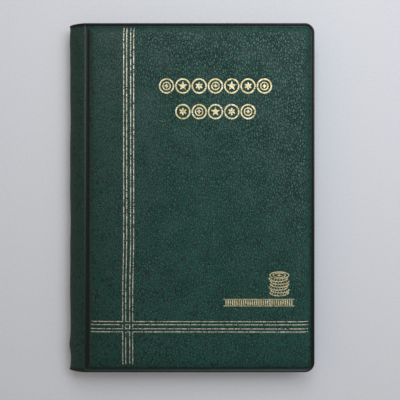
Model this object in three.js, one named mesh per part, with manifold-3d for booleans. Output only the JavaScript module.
// A pocket album for coins, welded from soft vinyl film. It lies closed on its back cover.
// Millimetres: X runs from the spine to the fore edge, Y up the page, Z up from the table.
// The origin is under the middle of the closed album, on the table.

import * as THREE from 'three';
import { mergeVertices } from 'three/addons/utils/BufferGeometryUtils.js';
import Module from 'manifold-3d';

const wasm = await Module();
wasm.setup();

// Closed album
const ALBUM_WIDTH = 127;
const ALBUM_HEIGHT = 180;
const ALBUM_THICKNESS = 15;
const OUTER_CORNER_RADIUS = 5;

// Cover: vinyl skin, foam pad, stiff board and lining film, welded together round the edge
const COVER_THICKNESS = 3.4;
const SKIN_THICKNESS = 0.4;
const LINING_THICKNESS = 0.25;
const LAYER_GAP = 0.05;
const WELD_FLANGE_WIDTH = 2.6;
const HINGE_FLANGE_WIDTH = 3.0;
const PAD_EDGE_ROUND = 1.2;
const PAD_CORNER_RADIUS = 3;
const SKIN_WALL = 0.8;
const BOARD_CLEARANCE = 0.2;
const BOARD_THICKNESS = 1.5;

// Spine: two halves of bent film between the hinge welds and the fold in the middle
const FILM_HALF = (SKIN_THICKNESS + LAYER_GAP + LINING_THICKNESS) / 2;
const SPINE_HALF_DEPTH = 8.75;
const SPINE_BULGE = 0.7;
const FOLD_GAP = 0.6;
const HINGE_GAP = 0.3;

// Pages: eight sheets, each a base film with four strips of three pockets welded on it
const SHEET_COUNT = 8;
const SHEET_PITCH = 1.0;
const FILM_THICKNESS = 0.2;
const SHEET_HEIGHT = 172;
const SHEET_FORE_EDGE = 57.5;
const SHEET_CORNER_RADIUS = 3;
const PAGE_HINGE_FIRST = 8.9;
const PAGE_HINGE_STEP = 1.0;
const PAGE_HINGE_GAP = 0.3;

// Pockets: open along the top, with a notch for the thumb over each one
const ROWS = 4;
const COLUMNS = 3;
const POCKET_AREA_LEFT = -50;
const ROW_MARGIN = 0.8;
const STRIP_HEIGHT = 40.5;
const SEAM_WIDTH = 1.2;
const NOTCH_WIDTH = 15;
const NOTCH_DEPTH = 5;

// Binding: the welded and gathered inner margins of all the sheets
const BINDING_ROOT = 1.3;
const BINDING_ROOT_HALF = 0.3;
const BINDING_HALF = 3.3;

// Heights of the hinge lines, and where the spine folds
const HINGE_HEIGHT = COVER_THICKNESS - FILM_HALF;
const FOLD_HEIGHT = ALBUM_THICKNESS / 2;
const HINGE_RISE = FOLD_HEIGHT - HINGE_HEIGHT;
const HALF_CHORD = Math.hypot(SPINE_HALF_DEPTH, HINGE_RISE) / 2;
const SPINE_RADIUS = (HALF_CHORD ** 2 + SPINE_BULGE ** 2) / (2 * SPINE_BULGE);
const SPINE_SWING = Math.asin(HALF_CHORD / SPINE_RADIUS);
const CHORD_ANGLE = Math.atan2(HINGE_RISE, SPINE_HALF_DEPTH);

// Directions from the centre of the lower half's arc to the two ends of its film
const FOLD_END = -Math.PI / 2 - CHORD_ANGLE - SPINE_SWING;
const HINGE_END = -Math.PI / 2 - CHORD_ANGLE + SPINE_SWING;
const FILM_END = FOLD_END + FOLD_GAP / SPINE_RADIUS;
const NOSE_REACH = SPINE_RADIUS * Math.cos(FOLD_END)
  - (SPINE_RADIUS + FILM_HALF) * Math.cos(FILM_END);
const FOLD_X = -ALBUM_WIDTH / 2 + NOSE_REACH;
const HINGE_X = FOLD_X + SPINE_HALF_DEPTH;

const VINYL_GREEN = 0x2d4743;
const LINING_GREEN = 0x24403a;
const FOAM_WHITE = 0xe8e6dc;
const BOARD_GREY = 0x9a958a;
const CLEAR_FILM = 0xdfe8ea;

function material(color, roughness, opacity = 1) {
  return new THREE.MeshStandardMaterial({
    color, roughness, metalness: 0, opacity, transparent: opacity < 1,
  });
}

function piece(name, geometry, surface) {
  const mesh = new THREE.Mesh(geometry, surface);
  mesh.name = name;
  return mesh;
}

function toSolid(geometry) {
  const bare = geometry.clone();
  bare.deleteAttribute('normal');
  bare.deleteAttribute('uv');
  const merged = mergeVertices(bare, 1e-4);
  return new wasm.Manifold(new wasm.Mesh({
    numProp: 3,
    vertProperties: new Float32Array(merged.attributes.position.array),
    triVerts: new Uint32Array(merged.index.array),
  }));
}

function toGeometry(solid) {
  const mesh = solid.getMesh();
  const geometry = new THREE.BufferGeometry();
  geometry.setAttribute('position', new THREE.BufferAttribute(mesh.vertProperties, 3));
  geometry.setIndex(new THREE.BufferAttribute(mesh.triVerts, 1));
  geometry.computeVertexNormals();
  return geometry;
}

// A page-like outline: square at the spine side, round corners at the fore edge.
function leafOutline(left, right, halfHeight, radius) {
  const shape = new THREE.Shape();
  shape.moveTo(left, -halfHeight);
  shape.lineTo(right - radius, -halfHeight);
  shape.absarc(right - radius, -halfHeight + radius, radius, -Math.PI / 2, 0);
  shape.lineTo(right, halfHeight - radius);
  shape.absarc(right - radius, halfHeight - radius, radius, 0, Math.PI / 2);
  shape.lineTo(left, halfHeight);
  shape.closePath();
  return shape;
}

function plate(outline, bottom, top, curveSegments = 6) {
  const options = { depth: top - bottom, bevelEnabled: false, curveSegments };
  return new THREE.ExtrudeGeometry(outline, options).translate(0, 0, bottom);
}

// The cover is drawn outer face down, as the back cover lies. inset shrinks the padded area.
function padOutline(inset) {
  const left = HINGE_X + HINGE_FLANGE_WIDTH + inset;
  const right = ALBUM_WIDTH / 2 - WELD_FLANGE_WIDTH - inset;
  const halfHeight = ALBUM_HEIGHT / 2 - WELD_FLANGE_WIDTH - inset;
  return leafOutline(left, right, halfHeight, PAD_CORNER_RADIUS);
}

function coverOutline() {
  const left = HINGE_X + HINGE_GAP;
  return leafOutline(left, ALBUM_WIDTH / 2, ALBUM_HEIGHT / 2, OUTER_CORNER_RADIUS);
}

// The block of the padded area, with its outer edge rounded over.
function padBlock(top) {
  const round = PAD_EDGE_ROUND;
  const options = {
    depth: top - round, bevelEnabled: true, bevelThickness: round, bevelSize: round,
    bevelOffset: -round, bevelSegments: 3, curveSegments: 6,
  };
  const block = new THREE.ExtrudeGeometry(padOutline(0), options).translate(0, 0, round);
  const keep = new THREE.BoxGeometry(ALBUM_WIDTH * 2, ALBUM_HEIGHT * 2, top);
  return toSolid(block).intersect(toSolid(keep.translate(0, 0, top / 2)));
}

function outerSkin() {
  const seat = COVER_THICKNESS - LINING_THICKNESS - LAYER_GAP;
  const flange = toSolid(plate(coverOutline(), seat - SKIN_THICKNESS, seat));
  const hollow = toSolid(plate(padOutline(SKIN_WALL), SKIN_THICKNESS, seat + 1));
  return toGeometry(padBlock(seat).add(flange).subtract(hollow));
}

function cover(side) {
  const seat = COVER_THICKNESS - LINING_THICKNESS - LAYER_GAP;
  const boardOutline = padOutline(SKIN_WALL + BOARD_CLEARANCE);
  const boardTop = seat - LAYER_GAP;
  const boardBottom = boardTop - BOARD_THICKNESS;
  const foamBottom = SKIN_THICKNESS + LAYER_GAP;
  const foam = plate(boardOutline, foamBottom, boardBottom - LAYER_GAP);
  const board = plate(boardOutline, boardBottom, boardTop);
  const lining = plate(coverOutline(), COVER_THICKNESS - LINING_THICKNESS, COVER_THICKNESS);
  const group = new THREE.Group();
  group.add(piece(`${side}_outer_skin`, outerSkin(), material(VINYL_GREEN, 0.55)));
  group.add(piece(`${side}_foam_pad`, foam, material(FOAM_WHITE, 0.9)));
  group.add(piece(`${side}_board`, board, material(BOARD_GREY, 0.85)));
  group.add(piece(`${side}_lining`, lining, material(LINING_GREEN, 0.5)));
  return group;
}

// One half of the spine, from its hinge weld up to the fold. near and far are the distances
// of the film's two faces outwards from its middle line.
function spineHalf(near, far) {
  const centreX = FOLD_X - SPINE_RADIUS * Math.cos(FOLD_END);
  const centreZ = FOLD_HEIGHT - SPINE_RADIUS * Math.sin(FOLD_END);
  const hingeEnd = HINGE_END - HINGE_GAP / SPINE_RADIUS;
  const shape = new THREE.Shape();
  shape.absarc(centreX, centreZ, SPINE_RADIUS + far, FILM_END, hingeEnd, false);
  shape.absarc(centreX, centreZ, SPINE_RADIUS + near, hingeEnd, FILM_END, true);
  shape.closePath();
  const options = { depth: ALBUM_HEIGHT, bevelEnabled: false, curveSegments: 10 };
  const bar = new THREE.ExtrudeGeometry(shape, options);
  return bar.rotateX(Math.PI / 2).translate(0, ALBUM_HEIGHT / 2, 0);
}

function spine(half) {
  const skin = spineHalf(FILM_HALF - SKIN_THICKNESS, FILM_HALF);
  const lining = spineHalf(-FILM_HALF, LINING_THICKNESS - FILM_HALF);
  const group = new THREE.Group();
  group.add(piece(`spine_skin_${half}`, skin, material(VINYL_GREEN, 0.55)));
  group.add(piece(`spine_lining_${half}`, lining, material(LINING_GREEN, 0.5)));
  return group;
}

// Turned over its own length, a piece of the back half becomes the same piece of the front half.
function turnedOver(group) {
  group.rotation.x = Math.PI;
  group.position.z = ALBUM_THICKNESS;
  return group;
}

function sheetLevel(index) {
  return FOLD_HEIGHT + (index - (SHEET_COUNT + 1) / 2) * SHEET_PITCH;
}

// The outer sheets leave the binding first, the middle ones last.
function sheetHingeX(index) {
  const fromOutside = Math.min(index - 1, SHEET_COUNT - index);
  return FOLD_X + PAGE_HINGE_FIRST + fromOutside * PAGE_HINGE_STEP;
}

// One strip of pockets, with the thumb notches along its open top edge.
function pocketStrip(row) {
  const right = SHEET_FORE_EDGE;
  const pitch = (right - POCKET_AREA_LEFT) / COLUMNS;
  const bottom = SHEET_HEIGHT / 2 - (row * SHEET_HEIGHT) / ROWS + ROW_MARGIN;
  const top = bottom + STRIP_HEIGHT;
  const notchRadius = ((NOTCH_WIDTH / 2) ** 2 + NOTCH_DEPTH ** 2) / (2 * NOTCH_DEPTH);
  const opening = Math.asin(NOTCH_WIDTH / 2 / notchRadius);
  const shape = new THREE.Shape();
  shape.moveTo(POCKET_AREA_LEFT, bottom);
  shape.lineTo(right - SEAM_WIDTH, bottom);
  shape.lineTo(right - SEAM_WIDTH, top);
  for (let column = COLUMNS; column >= 1; column -= 1) {
    const centreX = right - (COLUMNS - column + 0.5) * pitch;
    const centreY = top + notchRadius - NOTCH_DEPTH;
    const down = -Math.PI / 2;
    shape.absarc(centreX, centreY, notchRadius, down + opening, down - opening, true);
  }
  shape.lineTo(POCKET_AREA_LEFT, top);
  shape.closePath();
  return shape;
}

function sheet(index) {
  const level = sheetLevel(index);
  const left = sheetHingeX(index) + PAGE_HINGE_GAP;
  const outline = leafOutline(left, SHEET_FORE_EDGE, SHEET_HEIGHT / 2, SHEET_CORNER_RADIUS);
  const filmTop = level - LAYER_GAP / 2;
  const stripBottom = level + LAYER_GAP / 2;
  const film = plate(outline, filmTop - FILM_THICKNESS, filmTop);
  const group = new THREE.Group();
  group.add(piece(`sheet_${index}_film`, film, material(CLEAR_FILM, 0.15, 0.4)));
  for (let row = 1; row <= ROWS; row += 1) {
    const strip = plate(pocketStrip(row), stripBottom, stripBottom + FILM_THICKNESS, 8);
    const name = `sheet_${index}_pockets_${row}`;
    group.add(piece(name, strip, material(CLEAR_FILM, 0.15, 0.4)));
  }
  return group;
}

// A wedge that widens from the weld at the fold, then steps in where each sheet leaves it.
function pageBinding() {
  const wedgeEnd = PAGE_HINGE_FIRST - PAGE_HINGE_GAP;
  const upper = [[BINDING_ROOT, BINDING_ROOT_HALF], [wedgeEnd, BINDING_HALF]];
  const stepCount = SHEET_COUNT / 2 - 1;
  for (let step = 0; step < stepCount; step += 1) {
    const half = (stepCount - step) * SHEET_PITCH - PAGE_HINGE_GAP;
    const start = wedgeEnd + step * PAGE_HINGE_STEP;
    upper.push([start, half], [start + PAGE_HINGE_STEP, half]);
  }
  const lower = upper.map(([along, half]) => [along, -half]).reverse();
  const corners = upper.concat(lower);
  const shape = new THREE.Shape(
    corners.map(([along, half]) => new THREE.Vector2(FOLD_X + along, FOLD_HEIGHT + half)),
  );
  const bar = new THREE.ExtrudeGeometry(shape, { depth: SHEET_HEIGHT, bevelEnabled: false });
  const geometry = bar.rotateX(Math.PI / 2).translate(0, SHEET_HEIGHT / 2, 0);
  return piece('page_binding', geometry, material(CLEAR_FILM, 0.2, 0.6));
}

const album = new THREE.Group();
album.add(cover('back'));
album.add(turnedOver(cover('front')));
album.add(spine('lower'));
album.add(turnedOver(spine('upper')));
album.add(pageBinding());
for (let index = 1; index <= SHEET_COUNT; index += 1) {
  album.add(sheet(index));
}

export default album;
